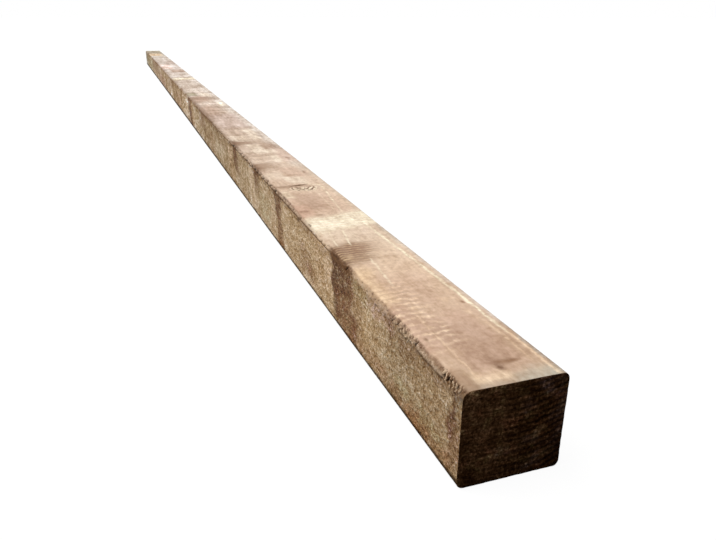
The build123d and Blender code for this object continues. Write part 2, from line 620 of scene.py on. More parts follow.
class Field:
    """A number, colour or shader that a node gives, and that may vary from place to place."""

    def __init__(self, tree, socket):
        self.tree = tree
        self.socket = socket

    def step(self, operation, *others):
        """What a math node makes of this number and the others."""
        numbers = dict(enumerate((self, *others)))
        return add_node(self.tree, "ShaderNodeMath", numbers, operation=operation)

    def __add__(self, other):
        return self.step("ADD", other)

    def __mul__(self, other):
        return self.step("MULTIPLY", other)

    def __sub__(self, other):
        return self.step("SUBTRACT", other)

    def __rsub__(self, other):
        return (self * -1.0) + other

    def __truediv__(self, other):
        return self * (1 / other)

    def __rtruediv__(self, other):
        return add_node(self.tree, "ShaderNodeMath", {0: other, 1: self}, operation="DIVIDE")

    def ramp(self, low, high):
        """0 up to low and 1 from high on, or the other way round if low is above high."""
        inputs = {"Value": self, "From Min": low, "From Max": high}
        return add_node(
            self.tree, "ShaderNodeMapRange", inputs, "Result", interpolation_type="SMOOTHSTEP"
        )

    def window(self, start, end, soft):
        """1 between start and end, fading to 0 over soft outside them."""
        return self.ramp(start - soft, start) * self.ramp(end + soft, end)

    def between(self, first, second):
        """The first colour where this number is 0, the second where it is 1, and a mix elsewhere."""
        inputs = {"Factor": self, 6: first, 7: second}
        return add_node(self.tree, "ShaderNodeMix", inputs, 2, data_type="RGBA")

    def tint(self, cover, tint):
        """This colour, with tint over it where cover is 1, and less where it is less."""
        return cover.between(self, tint)

    def shade(self, level, spread):
        """This colour, lighter where level is above zero and darker where it is below.

        Spread is how much of the level each of red, green and blue takes.
        """
        factors = self.tree.nodes.new("ShaderNodeCombineXYZ")
        for slot, share in zip(factors.inputs, spread):
            feed(self.tree, slot, (level * share).step("EXPONENT"))
        inputs = {0: self, 1: Field(self.tree, factors.outputs[0])}
        return add_node(self.tree, "ShaderNodeVectorMath", inputs, operation="MULTIPLY")

    def scale(self, factor):
        """This colour or place times a number."""
        inputs = {0: self, "Scale": factor}
        return add_node(self.tree, "ShaderNodeVectorMath", inputs, operation="SCALE")

    def gradient(self, stops):
        """A colour that changes along this number, from stops of (value, colour)."""
        first, last = stops[0][0], stops[-1][0]
        share = (self - first) / (last - first)
        node = self.tree.nodes.new("ShaderNodeValToRGB")
        feed(self.tree, node.inputs["Fac"], share)
        elements = node.color_ramp.elements
        while len(elements) < len(stops):
            elements.new(1.0)
        for element, (value, colour) in zip(elements, stops):
            element.position = (value - first) / (last - first)
            element.color = colour
        return Field(self.tree, node.outputs["Color"])


def feed(tree, slot, value):
    """Links a field to an input, or sets the input to a plain value."""
    if isinstance(value, Field):
        tree.links.new(value.socket, slot)
    else:
        slot.default_value = value


def add_node(tree, kind, inputs, output=0, **settings):
    """Adds a node with these settings and inputs, and gives one of its outputs as a field."""
    node = tree.nodes.new(kind)
    for setting, value in settings.items():
        setattr(node, setting, value)
    for slot, value in inputs.items():
        feed(tree, node.inputs[slot], value)
    return Field(tree, node.outputs[output]) if node.outputs else None


def wave(field):
    """-1 to 1 and back once for each whole step of field."""
    return (field * (2 * pi)).step("COSINE")


def distance(run, side):
    """How long a step of run one way and side the other way is."""
    return (run * run + side * side).step("SQRT")


def blank_material(name):
    """A material with an empty node tree."""
    material = bpy.data.materials.new(name)
    material.use_nodes = True
    material.node_tree.nodes.clear()
    return material


# Stage, light and camera


def seen_directly(tree):
    """1 for a ray from the camera, or one that gloss or glass sends on, and 0 for other light."""
    path = tree.nodes.new("ShaderNodeLightPath")
    either = Field(tree, path.outputs["Is Camera Ray"])
    for other in ("Is Glossy Ray", "Is Transmission Ray"):
        either = either.step("MAXIMUM", Field(tree, path.outputs[other]))
    return either


def make_floor():
    """A white floor that keeps a pale shadow and sends little light back up."""
    bpy.ops.object.select_all(action="DESELECT")
    bpy.ops.mesh.primitive_plane_add(size=FLOOR_SIZE, location=(0, 0, -FLOOR_DROP))
    floor = bpy.context.object
    floor.name = "floor"
    material = blank_material("white_floor")
    tree = material.node_tree
    bounce = (FLOOR_BOUNCE, FLOOR_BOUNCE, FLOOR_BOUNCE, 1.0)
    paint = add_node(tree, "ShaderNodeBsdfDiffuse", {"Color": WHITE})
    dull = add_node(tree, "ShaderNodeBsdfDiffuse", {"Color": bounce})
    glow = add_node(tree, "ShaderNodeEmission", {"Strength": FLOOR_GLOW})
    shown = add_node(tree, "ShaderNodeMixShader", {"Fac": FLOOR_SHADOW_SHARE, 1: glow, 2: paint})
    choice = add_node(tree, "ShaderNodeMixShader", {"Fac": seen_directly(tree), 1: dull, 2: shown})
    add_node(tree, "ShaderNodeOutputMaterial", {"Surface": choice})
    floor.data.materials.append(material)


def make_light():
    """The soft sun, and a sky that shows white but lights the batten gently."""
    turn = [radians(angle) for angle in SUN_TURN]
    bpy.ops.object.light_add(type="SUN", rotation=turn)
    sun = bpy.context.object.data
    sun.energy = SUN_STRENGTH
    sun.angle = radians(SUN_SOFTNESS)
    sun.color = SUN_COLOUR
    world = bpy.data.worlds.new("pale_sky")
    world.use_nodes = True
    tree = world.node_tree
    tree.nodes.clear()
    sky = add_node(tree, "ShaderNodeBackground", {"Color": WHITE, "Strength": SKY_STRENGTH})
    backdrop = add_node(tree, "ShaderNodeBackground", {"Color": WHITE, "Strength": BACKDROP_STRENGTH})
    choice = add_node(tree, "ShaderNodeMixShader", {"Fac": seen_directly(tree), 1: sky, 2: backdrop})
    add_node(tree, "ShaderNodeOutputWorld", {"Surface": choice})
    bpy.context.scene.world = world


def make_camera():
    """The camera at the photograph's place, turn and lens."""
    turn = [radians(angle) for angle in CAMERA_TURN]
    bpy.ops.object.camera_add(location=Vector(CAMERA_PLACE) * MM, rotation=turn)
    camera = bpy.context.object
    camera.data.lens = CAMERA_LENS
    camera.data.sensor_width = CAMERA_SENSOR
    camera.data.clip_start = MM
    camera.data.clip_end = CAMERA_REACH
    bpy.context.scene.camera = camera


# The finish


def srgb(red, green, blue):
    """A colour as picked on a screen, 0 to 255, as Blender's linear colour."""

    def linear(channel):
        share = channel / 255
        return share / 12.92 if share <= 0.04045 else ((share + 0.055) / 1.055) ** 2.4

    return linear(red), linear(green), linear(blue), 1.0


# Grain patterns: run along and span across, then detail and roughness. Each pattern's place in this
# table shifts it away from the others
GRAINS = {
    "drift": (120, 16, 2, 0.5),
    "blotch": (45, 12, 4, 0.55),
    "mottle": (15, 3.2, 3, 0.6),
    "patch": (6, 4.5, 3, 0.6),
    "hue": (11, 6, 3, 0.6),
    "ragged": (8, 6, 3, 0.55),
    "fibre": (6, 0.9, 3, 0.65),
    "streak": (70, 1.6, 3, 0.6),
    "fleck": (2.1, 1.8, 3, 0.66),
    "speck": (0.9, 1.2, 2, 0.7),
    "cross_line": (2.4, 8, 2, 0.5),
    "dapple": (3.6, 2.8, 2, 0.5),
    "cross_band": (9, 60, 3, 0.55),
    "cross_drift": (38, 120, 3, 0.55),
    "wander": (500, 120, 1, 0.5),
    "waver": (60, 20, 2, 0.5),
    "end_patch": (9, 8, 3, 0.55),
    "end_fleck": (1.3, 1.3, 3, 0.7),
}
GRAIN_SHIFT = 7.3
GRAIN_LOW = 0.28
GRAIN_HIGH = 0.72


class Finish:
    """A material whose patterns are laid out in millimetres along, across and up the batten."""

    def __init__(self, name):
        self.material = blank_material(name)
        self.tree = self.material.node_tree
        self.grains = {}
        self.point = add_node(self.tree, "ShaderNodeTexCoord", {}, "Object").scale(PER_MM)
        split = self.tree.nodes.new("ShaderNodeSeparateXYZ")
        feed(self.tree, split.inputs[0], self.point)
        x, y, z = (Field(self.tree, axis) for axis in split.outputs)
        self.along = NEAR_END - x
        self.across = y
        self.up = z

    def noise(self, layout, detail, roughness):
        """Noise from 0 to 1, laid out by the inputs of a mapping node."""
        spot = add_node(self.tree, "ShaderNodeMapping", {"Vector": self.point, **layout})
        inputs = {"Vector": spot, "Scale": 1.0, "Detail": detail, "Roughness": roughness}
        return add_node(self.tree, "ShaderNodeTexNoise", inputs, "Fac")

    def grain(self, name):
        """The grain pattern of that name, from about -1 to 1."""
        if name not in self.grains:
            run, span, detail, roughness = GRAINS[name]
            shift = GRAIN_SHIFT * list(GRAINS).index(name)
            layout = {"Location": (shift, shift, shift), "Scale": (1 / run, 1 / span, 1 / span)}
            inputs = {
                "Value": self.noise(layout, detail, roughness),
                "From Min": GRAIN_LOW,
                "From Max": GRAIN_HIGH,
                "To Min": -1.0,
            }
            self.grains[name] = add_node(self.tree, "ShaderNodeMapRange", inputs, "Result")
        return self.grains[name]

    def blend(self, shares):
        """The sum of the grain patterns named in shares, each times its share."""
        total = 0.0
        for name, share in shares.items():
            total = self.grain(name) * share + total
        return total

    def kept(self, name, part="Fac"):
        """A number or colour that the mesh keeps for each of its points."""
        return add_node(self.tree, "ShaderNodeAttribute", {}, part, attribute_name=name)


# Colours of the wood, as they look in plain light, and colours of painted light and shade, each marked
# The top face's tones also hold a painted sheen, which makes them paler away from the near end
TOP_TONES_AND_SHEEN = (
    (0, srgb(180, 158, 136)),
    (12, srgb(200, 169, 142)),
    (60, srgb(203, 171, 145)),
    (125, srgb(223, 193, 165)),
    (200, srgb(221, 196, 171)),
    (290, srgb(229, 202, 177)),
    (380, srgb(217, 191, 168)),
    (500, srgb(208, 184, 163)),
    (850, srgb(197, 173, 154)),
    (1200, srgb(221, 204, 189)),
    (1650, srgb(211, 195, 184)),
    (2050, srgb(204, 189, 175)),
    (2400, srgb(186, 176, 156)),
)
SIDE_TONES = (
    (0, srgb(166, 135, 97)),
    (30, srgb(174, 142, 103)),
    (65, srgb(176, 147, 110)),
    (110, srgb(203, 169, 126)),
    (240, srgb(210, 177, 135)),
    (330, srgb(202, 170, 130)),
    (420, srgb(195, 165, 126)),
    (700, srgb(185, 157, 119)),
    (1100, srgb(200, 168, 128)),
    (1900, srgb(190, 159, 121)),
    (2250, srgb(184, 164, 130)),
    (2400, srgb(168, 154, 128)),
)
STAIN = srgb(134, 97, 65)
DEEP_STAIN = srgb(104, 70, 42)
SIDE_STAIN = srgb(116, 74, 40)
SIDE_DEEP = srgb(82, 48, 22)
SIDE_PALE = srgb(224, 188, 148)
RED_BROWN = srgb(126, 80, 46)
CREAM = srgb(250, 236, 208)
PALE = srgb(242, 224, 202)
# Painted highlight on the crests of the saw ripples
RIPPLE_HIGHLIGHT = srgb(255, 246, 226)
PALE_PINK = srgb(246, 218, 204)
PALE_GREY = srgb(228, 216, 204)
GOLD = srgb(240, 208, 166)
ROSE_BROWN = srgb(176, 143, 120)
PINK_BROWN = srgb(202, 167, 144)
LILAC = srgb(194, 168, 154)
OLIVE = srgb(160, 144, 116)
ORANGE = srgb(152, 106, 64)
MOSS = srgb(166, 144, 98)
PINK = srgb(206, 164, 140)
GREY = srgb(186, 176, 158)
WORN_GREY = srgb(216, 190, 164)
PEACH = srgb(246, 216, 182)
# Painted shade along the rounded right arris of the top
RIGHT_ARRIS_SHADE = srgb(184, 168, 152)
ARRIS_BROWN = srgb(100, 67, 38)
# Brown of the torn fibres, also laid as painted shade in their pits and in the groove under the lip
TORN_BROWN_AND_SHADE = srgb(78, 54, 34)
# Painted shade inside the chips of the arris
CHIP_SHADE = srgb(46, 29, 17)
# Near-black painted shade: inside the drying check, and a contact shadow along the lower edge
PAINTED_SHADE = srgb(34, 21, 13)
END_EARLY_WOOD = srgb(80, 52, 30)
END_LATE_WOOD = srgb(38, 22, 11)
END_RED = srgb(76, 36, 20)
END_OLIVE = srgb(66, 54, 26)
END_VIOLET = srgb(48, 38, 40)

# How much of a lighter or darker level red, green and blue take: the pale wood is also the greyer
TOP_SPREAD = (0.78, 1.0, 1.2)
SIDE_SPREAD = (0.76, 1.0, 1.42)
END_SPREAD = (0.85, 1.0, 1.2)
TOP_LIGHT_SHARE = 0.7
TOP_LIFT = 0.02
SIDE_LIGHT_SHARE = 0.72
SIDE_LIFT = 0.16

# Shares by which the grain patterns lighten and darken each face
TOP_FINE_SHARES = {
    "fibre": 0.02, "fleck": 0.13, "cross_line": 0.05, "streak": 0.03, "dapple": 0.16, "patch": 0.12,
}
TOP_BROAD_SHARES = {
    "drift": 0.09, "blotch": 0.12, "mottle": 0.12, "cross_band": 0.09, "cross_drift": 0.15,
}
SIDE_FINE_SHARES = {"fibre": 0.1, "fleck": 0.84, "speck": 0.62}
SIDE_BROAD_SHARES = {
    "drift": 0.08, "blotch": 0.17, "mottle": 0.25, "patch": 0.28, "cross_band": 0.14,
    "cross_drift": 0.18,
}

# Where the marks turn coarser and the fine grain fainter along the batten, and by how much
FAR = (200.0, 900.0)
FAR_GAIN = 2.1
FAR_FINE_LOSS_SHARE = 0.5

# Marks over the top face: start and end along its middle, softness, how much further along they are
# at the right edge than at the left, left and right edge, edge softness, colour, share
TOP_MARKS = (
    (2, 17, 3, 0, -24, -17.5, 3, STAIN, 0.5),
    (5, 11, 4, 0, -14, 0, 4, PEACH, 0.6),
    (18, 62, 14, 0, -9, 9, 7, PINK_BROWN, 0.7),
    (18, 52, 12, 0, -7, 6, 8, ROSE_BROWN, 0.5),
    (15.8, 17.2, 1.2, 0, 0, 9, 3, STAIN, 0.6),
    (0, 7, 5, 0, 12, 30, 6, GREY, 0.5),
    (46, 60, 8, 0, -18, -6, 5, ROSE_BROWN, 0.3),
    (-10, 3, 5, 0, 4, 40, 8, GREY, 0.5),
    # Painted shade along the rounded right arris near the end
    (2, 50, 8, 0, 22, 40, 1.2, RIGHT_ARRIS_SHADE, 0.8),
    (60, 210, 10, 0, 21, 40, 1.2, PALE_GREY, 0.45),
    (190, 400, 30, 0, 20, 40, 2.5, GREY, 0.2),
    (440, 1500, 60, 0, 18, 40, 12, PALE_GREY, 0.6),
    (38, 84, 10, 0, -22, -16, 4, PINK_BROWN, 0.75),
    (92, 132, 14, 0, -26, -16, 5, GOLD, 0.5),
    (86, 118, 12, 0, -14, 4, 8, PINK_BROWN, 0.4),
    (159, 180, 14, 20, -40, -12, 17, STAIN, 0.72),
    (160, 179, 10, 20, -40, -22.5, 6, DEEP_STAIN, 0.8),
    (168, 180, 6, 18, -18, -4, 8, STAIN, 0.6),
    (166, 180, 6, 18, -14, 2, 12, ROSE_BROWN, 0.35),
    (160, 166, 5, 16, -24, -17, 3, GOLD, 0.3),
    (260, 302, 18, 6, -40, 8, 12, PINK_BROWN, 0.5),
    (270, 302, 10, 0, -12, -3, 8, ROSE_BROWN, 0.5),
    (250, 274, 8, 0, -24, -14, 5, PINK, 0.45),
    (258, 260, 3, 0, -20, -16, 2, RED_BROWN, 0.5),
    (247, 249, 3, 0, -12, -9, 2, RED_BROWN, 0.4),
    (302, 316, 6, 0, -26, -17, 4, CREAM, 0.4),
    (333, 337, 4, 0, -24, -10, 3, STAIN, 0.6),
    (220, 238, 14, 10, -40, 40, 1, CREAM, 0.76),
    (190, 206, 10, 6, -40, 10, 8, PALE, 0.15),
    (350, 366, 8, 0, -5, 6, 5, PALE, 0.7),
    (370, 386, 8, 0, -22, -8, 6, PALE, 0.3),
    (374, 404, 10, 0, -2, 10, 6, PINK_BROWN, 0.5),
    (416, 424, 9, 5, -40, -22, 5, DEEP_STAIN, 0.6),
    (414, 430, 16, 10, -40, -20, 28, STAIN, 0.75),
    (440, 462, 9, 0, 2, 7, 4, PALE, 0.7),
    (440, 496, 16, 0, 12, 30, 6, PINK_BROWN, 0.6),
    (484, 524, 10, 0, -8, 10, 6, PALE, 0.6),
    (506, 530, 12, 0, 6, 16, 5, ROSE_BROWN, 0.7),
    (542, 550, 8, 5, -40, -22, 5, DEEP_STAIN, 0.6),
    (540, 554, 14, 10, -40, -18, 28, STAIN, 0.8),
    (558, 588, 10, 0, -20, -4, 6, PALE, 0.5),
    (564, 624, 14, 0, 5, 11, 5, PALE, 0.6),
    (656, 760, 24, 0, -16, 10, 12, LILAC, 0.7),
    (790, 850, 30, 20, -30, -8, 14, ROSE_BROWN, 0.7),
    (866, 894, 14, 0, 12, 17, 4, CREAM, 0.6),
    (930, 984, 20, 30, -40, -2, 12, ROSE_BROWN, 0.8),
    (992, 1030, 16, 0, 1, 12, 6, PALE, 0.7),
    (1008, 1040, 14, 0, -40, -10, 6, OLIVE, 1),
    (1300, 1328, 18, 15, -40, 40, 1, CREAM, 0.9),
    (1500, 1542, 22, 0, -5, 24, 8, ROSE_BROWN, 0.85),
    (1600, 1710, 34, 0, -40, -4, 12, PALE_PINK, 0.9),
    (1780, 1830, 30, 0, 4, 30, 8, LILAC, 0.6),
    (2130, 2212, 34, 0, -40, 8, 12, GOLD, 0.75),
    (2260, 2400, 40, 0, -40, 20, 10, OLIVE, 0.8),
)

# Marks of the other faces: start and end at the upper edge, softness, how much further along they are
# there than at the lower edge, low and high edge, edge softness, colour, share
SIDE_MARKS = (
    (4, 8, 3, 0, 22, 37, 5, DEEP_STAIN, 0.85),
    (2, 9, 5, 0, 8, 24, 8, RED_BROWN, 0.4),
    (0, 7, 4, 0, 39, 45, 3, OLIVE, 0.5),
    (10, 22, 5, 0, 3, 10, 4, ORANGE, 0.5),
    (30, 50, 7, 0, 3, 11, 4, ORANGE, 0.85),
    (60, 72, 6, 0, 5, 11, 4, ORANGE, 0.45),
    (83, 97, 6, 0, 6, 13, 4, ORANGE, 0.4),
    (103, 122, 6, 0, 4, 9, 3, ORANGE, 0.45),
    (24, 36, 6, 0, 12, 17, 4, MOSS, 0.4),
    (54, 68, 6, 0, 13, 17, 4, MOSS, 0.4),
    (104, 130, 8, 0, 37, 41, 3, MOSS, 0.5),
    (44, 58, 7, 0, 34, 41, 5, SIDE_STAIN, 0.35),
    (74, 77, 2, 0, 33, 45, 4, SIDE_STAIN, 0.45),
    (78, 104, 10, 0, 38, 44, 4, PINK, 0.45),
    (119, 131, 6, 0, 14, 34, 6, RED_BROWN, 0.22),
    (210, 222, 10, 0, 10, 18, 6, ORANGE, 0.45),
    (224, 246, 10, 0, 10, 26, 7, RED_BROWN, 0.35),
    (182, 206, 9, 8, 20, 42, 8, SIDE_PALE, 0.5),
    (140, 168, 13, 10, 4, 60, 8, SIDE_STAIN, 0.4),
    (143, 170, 8, 6, 31, 60, 8, SIDE_STAIN, 0.74),
    (142, 166, 9, 9, 12, 34, 8, SIDE_STAIN, 0.68),
    (146, 165, 9, 18, 2, 12, 6, SIDE_STAIN, 0.6),
    (146, 170, 7, 12, 36, 60, 10, SIDE_DEEP, 0.7),
    (163, 171, 4, 6, 14, 60, 8, SIDE_DEEP, 0.55),
    (142, 156, 9, 10, 2, 14, 6, ORANGE, 0.3),
    (318, 329, 7, 14, 2, 60, 6, SIDE_STAIN, 0.7),
    (320, 330, 5, 14, 34, 60, 6, DEEP_STAIN, 0.5),
    (318, 330, 7, 14, 2, 14, 5, ORANGE, 0.4),
    (356, 390, 12, 0, 12, 28, 7, MOSS, 0.35),
    (404, 420, 8, 6, 38, 60, 8, DEEP_STAIN, 0.7),
    (404, 420, 11, 8, 34, 60, 14, SIDE_STAIN, 0.5),
    (426, 440, 9, 8, 10, 44, 6, SIDE_PALE, 0.35),
    (524, 543, 8, 20, 36, 60, 8, DEEP_STAIN, 0.75),
    (526, 542, 11, 34, 26, 60, 14, SIDE_STAIN, 0.65),
    (552, 574, 14, 20, 10, 60, 10, SIDE_PALE, 0.35),
    (690, 730, 16, 0, 4, 30, 8, ORANGE, 0.3),
    (790, 836, 20, 20, 28, 60, 12, SIDE_STAIN, 0.55),
    (600, 700, 30, 40, 34, 60, 10, SIDE_STAIN, 0.12),
    (182, 252, 8, 4, 40.5, 60, 3, SIDE_STAIN, 0.24),
    (2, 36, 5, 0, 40, 60, 3, SIDE_STAIN, 0.26),
    (60, 90, 6, 0, 39, 60, 3, SIDE_STAIN, 0.16),
    (973, 997, 12, 24, 2, 60, 8, SIDE_STAIN, 1),
    (982, 996, 8, 24, 2, 60, 8, SIDE_DEEP, 0.8),
    (1014, 1050, 18, 20, 2, 60, 8, SIDE_PALE, 0.24),
    (930, 952, 14, 20, 2, 60, 8, SIDE_PALE, 0.4),
    (1146, 1220, 30, 0, 8, 28, 8, ORANGE, 0.4),
    (1300, 1400, 40, 0, 30, 60, 8, SIDE_STAIN, 0.3),
    (1560, 1680, 60, 0, 2, 24, 8, PINK, 0.4),
    (1760, 1980, 60, 0, 26, 60, 10, SIDE_STAIN, 0.4),
    (2050, 2240, 60, 0, 10, 40, 10, MOSS, 0.4),
)

# Pale streaks along the grain of the top face: start, place across, end, place across, half width,
# share, colour
STREAKS = (
    (15, -13.8, 66, -13.4, 1, 0.5, PEACH),
    (112, -9.6, 148, -6.8, 1.3, 0.5, CREAM),
    (182, -9.4, 210, -5, 1.1, 0.7, CREAM),
    (183, -17.8, 210, -15.6, 0.9, 0.5, CREAM),
    (4, 20.2, 45, 19.7, 1.5, 0.7, PEACH),
    (18, 15.8, 50, 15.8, 1.4, 0.45, PEACH),
    (45, 19.5, 112, 18.2, 1.6, 1, CREAM),
    (112, 18.2, 215, 14.4, 1.6, 1, CREAM),
    (252, 8.6, 288, 11.4, 1.2, 0.5, CREAM),
    (286, 11.4, 326, 15.6, 1.2, 0.7, CREAM),
    (262, 4.6, 318, 7.6, 1, 0.3, CREAM),
)
STREAK_FADE = 7.0
STREAK_STRAY = 0.6

# Small knots and dots on the top face: along, across, reach along, reach across, colour, share
DOTS = (
    (16, 0, 9, 7, ROSE_BROWN, 0.7),
    (13.4, -1, 4, 3.8, DEEP_STAIN, 0.85),
    (16.6, 4, 2.6, 8, STAIN, 0.6),
    (78, 16, 3.2, 2, RED_BROWN, 0.8),
    (45.5, -19.4, 2.2, 1.5, DEEP_STAIN, 0.6),
    (384, 15, 9, 2.6, RED_BROWN, 0.75),
    (448, 15.6, 12, 2.6, RED_BROWN, 0.6),
    (580, 16, 14, 2.6, RED_BROWN, 0.5),
    (1770, 23, 30, 3.4, RED_BROWN, 0.7),
    (1902, 23, 34, 3.4, RED_BROWN, 0.7),
)

# How far the edges of the marks stray: broad and fine, with the size of the strays
STRAY_BROAD = 6.0
STRAY_BROAD_SIZE = 11.0
STRAY_FINE = 3.5
STRAY_FINE_SIZE = 3.6
STRAY_SIDEWAYS_SHARE = 0.6
STRAY_TOP_SHARE = 0.5

# The heights between which the top face's finish takes over from that of the sides, and between which
# the gloss comes in above the floor
TOP_TAKES_OVER = (HEIGHT - 3.0, HEIGHT - 0.6)
GLOSS_RISE = (3.0, 8.0)

# Saw ripples as painted light and shade, with a painted highlight on each crest and painted shade
# in each trough: the stretches with pale crests, with a stain and with a pale band, each as start,
# end and softness, the places across between which the crests come in, and how far each grain
# pattern moves the crests and the fine ripples
CREST_STRETCH = (50.0, 100.0, 26.0)
CREST_ACROSS = (2.0, -8.0)
RIPPLED_STAIN = (148.0, 180.0, 8.0)
RIPPLED_BAND = (218.0, 242.0, 5.0)
RIPPLED_BAND_LEAN = 0.2
FINE_RIPPLE_PITCH = 3.6
CREST_STRAYS = {"ragged": 1.4, "blotch": 1.4, "hue": 0.6}
FINE_RIPPLE_STRAYS = {"ragged": 0.7, "dapple": 0.4}

# The knot as colour: where along its curls come in, its outer swirl's reach and the places between
# which that comes in, and the halo round the check
CURLS_ALONG = (336.0, 328.0)
SWIRL_REACH_SHARE = 1.5
SWIRL_ACROSS = (2.0, 7.0)
SWIRL_ALONG = (322.0, 330.0)
HALO_ALONG = CHECK_ALONG - 1.0
HALO_REACH_ALONG = 5.0
HALO_REACH_ACROSS = 11.0

# The sides as colour: the fine grain's gain on the stains, the painted shade of the pits, and a
# painted contact shadow along the lower edge and underside, with the heights between which it
# fades, how far that rises between two places along, and how far it strays
STAINED_GAIN = 2.0
PIT_SHADE_SHARE = 0.45
CONTACT_SHADOW_FADE = (5.2, 3.3)
CONTACT_SHADOW_RISE = 3.5
CONTACT_SHADOW_RISES = (100.0, 1500.0)
CONTACT_SHADOW_STRAY = 0.8
CONTACT_SHADOW_SHARE = 0.8

# The arris as colour: its pale slivers' pitch, lean and stray, and the stretches that have them
SLIVER_PITCH = 2.8
SLIVER_LEAN = 0.5
SLIVER_STRAY = 1.2
COMBED_FIRST = (50.0, 72.0, 6.0)
COMBED_SECOND = (6.0, 19.0, 3.0)

# The cut ends: where across their rings turn strong and how far that strays, how light they are, and
# lighter upwards and to the left, and the turn (in degrees), run and span of their scratches
END_RINGS_ACROSS = (-12.0, 16.0)
END_RINGS_STRAY = 9.0
END_LIFT = 0.16
END_LIFT_UP = 0.5
END_LIFT_LEFT = 0.6
SCRATCH_TURN = 12.0
SCRATCH_RUN = 9.0
SCRATCH_SPAN = 0.8

# Growth rings round a pith that lies well above the top face: their pitch, how far they wander and
# waver, and how far they bulge round the knot
PITH_ACROSS = -3.0
PITH_UP = 95.0
RING_PITCH = 3.0
RING_WANDER = 4.0
RING_WAVER = 0.8
KNOT_BULGE = 9.0
KNOT_BULGE_ALONG = 24.0
KNOT_BULGE_ACROSS = 13.0


def lay_marks(marks, along, spot, middle, size):
    """The colour of the marks at a place times their cover, and their cover."""
    painted = (0.0, 0.0, 0.0, 0.0)
    for start, end, soft, lean, low, high, edge, tint, share in marks:
        leaned = along - lean * (spot - middle) / size
        if start - soft < leaned < end + soft and low - edge < spot < high + edge:
            cover = window(leaned, start, end, soft) * window(spot, low, high, edge) * share
            painted = [old * (1 - cover) + new * cover for old, new in zip(painted, tint)]
    return painted


def stray(along, across, up, seed):
    """How far the edge of a mark strays here."""
    spot = Vector((along, across, up))
    offset = Vector((seed, seed, seed))
    broad = noise.noise(spot / STRAY_BROAD_SIZE + offset)
    fine = noise.noise(spot / STRAY_FINE_SIZE - offset)
    return STRAY_BROAD * broad + STRAY_FINE * fine


def marks_at(along, across, up):
    """The marks of the top face and of the sides, each on its own face."""
    on_top = smooth(up, *TOP_TAKES_OVER)
    coarser = 1 + FAR_GAIN * smooth(along, *FAR)
    strayed = coarser * stray(along, across, up, 3.1)
    sideways = STRAY_SIDEWAYS_SHARE * stray(along, across, up, 8.7)
    on_top_across = across + STRAY_TOP_SHARE * sideways
    top = lay_marks(TOP_MARKS, along + STRAY_TOP_SHARE * strayed, on_top_across, 0.0, WIDTH)
    side = lay_marks(SIDE_MARKS, along + strayed, up + sideways, HEIGHT, HEIGHT)
    return [a * on_top + b * (1 - on_top) for a, b in zip(top, side)]


def paint_marks(piece):
    """Keeps the marks' colour and cover for each vertex, for the finish to read."""
    colours = []
    for vertex in piece.data.vertices:
        colours.extend(marks_at(*place(vertex.co)))
    layer = piece.data.attributes.new("marks", "FLOAT_COLOR", "POINT")
    layer.data.foreach_set("color", colours)


def growth_rings(finish):
    """Distance from the pith, which wanders along the batten, in ring widths."""
    wander = finish.grain("wander") * RING_WANDER
    side = finish.across - PITH_ACROSS + wander
    depth = finish.up - PITH_UP
    knot_along = (finish.along - KNOT_ALONG) / KNOT_BULGE_ALONG
    knot_across = (finish.across - KNOT_ACROSS) / KNOT_BULGE_ACROSS
    bulge = (0.0 - (knot_along * knot_along + knot_across * knot_across)).step("EXPONENT")
    reach = distance(side, depth) + finish.grain("waver") * RING_WAVER + wander + bulge * KNOT_BULGE
    return reach / RING_PITCH


def sawn_faces():
    """The finish of the four long faces: stained bands, a knot, and a torn arris."""
    finish = Finish("treated_sawn_faces")
    rings = wave(growth_rings(finish))
    on_top = finish.up.ramp(*TOP_TAKES_OVER)
    colour = side_faces(finish, rings).tint(on_top, top_face(finish, rings))
    colour = worn_arris(finish, colour)
    fleck = finish.grain("fleck")
    roughness = on_top * -0.25 + fleck * 0.05 + 0.9
    relief = fleck * 0.25 * (1.15 - on_top) + finish.grain("fibre") * 0.05
    gloss = finish.up.ramp(*GLOSS_RISE) * 0.25
    return woody(finish, colour, roughness, relief, gloss)


def woody(finish, colour, roughness, relief, gloss):
    """The shader that a finish of the wood ends in. Relief is in millimetres."""
    bump = add_node(finish.tree, "ShaderNodeBump", {"Distance": MM, "Height": relief})
    inputs = {
        "Base Color": colour,
        "Roughness": roughness,
        "Specular IOR Level": gloss,
        "Normal": bump,
    }
    shader = add_node(finish.tree, "ShaderNodeBsdfPrincipled", inputs)
    add_node(finish.tree, "ShaderNodeOutputMaterial", {"Surface": shader})
    return finish.material


def coarser_far(finish):
    """1 on the near part of the batten, and more further along, where its marks are bolder."""
    return finish.along.ramp(*FAR) * FAR_GAIN + 1.0


def top_face(finish, rings):
    """The smoother top face: tan wood with saw ripples, stained and pale bands and a knot."""
    uneven = finish.blend({"cross_line": 0.16, "mottle": 0.16, "fleck": 0.06}) + 0.95
    blotches = finish.grain("blotch") + finish.grain("mottle") * 0.4
    # Tones of the top along the batten, with their painted sheen
    colour = finish.along.gradient(TOP_TONES_AND_SHEEN)
    colour = colour.tint(blotches.ramp(0.1, 1.2) * 0.35, PINK_BROWN)
    colour = colour.tint(finish.grain("hue").ramp(0.2, 1.0) * 0.2, GOLD)
    colour = marked(finish, colour, uneven)
    colour = streaks(finish, colour)
    colour = ripples(finish, colour)
    colour = knot(finish, colour)
    for *reaches, tint, share in DOTS:
        colour = colour.tint(blob(finish, *reaches, 0.4) * share, tint)
    level = finish.blend(TOP_BROAD_SHARES) * coarser_far(finish)
    level = level + finish.blend(TOP_FINE_SHARES) + rings * 0.03
    level = level.step("MINIMUM", level * TOP_LIGHT_SHARE) + TOP_LIFT
    return colour.shade(level, TOP_SPREAD)


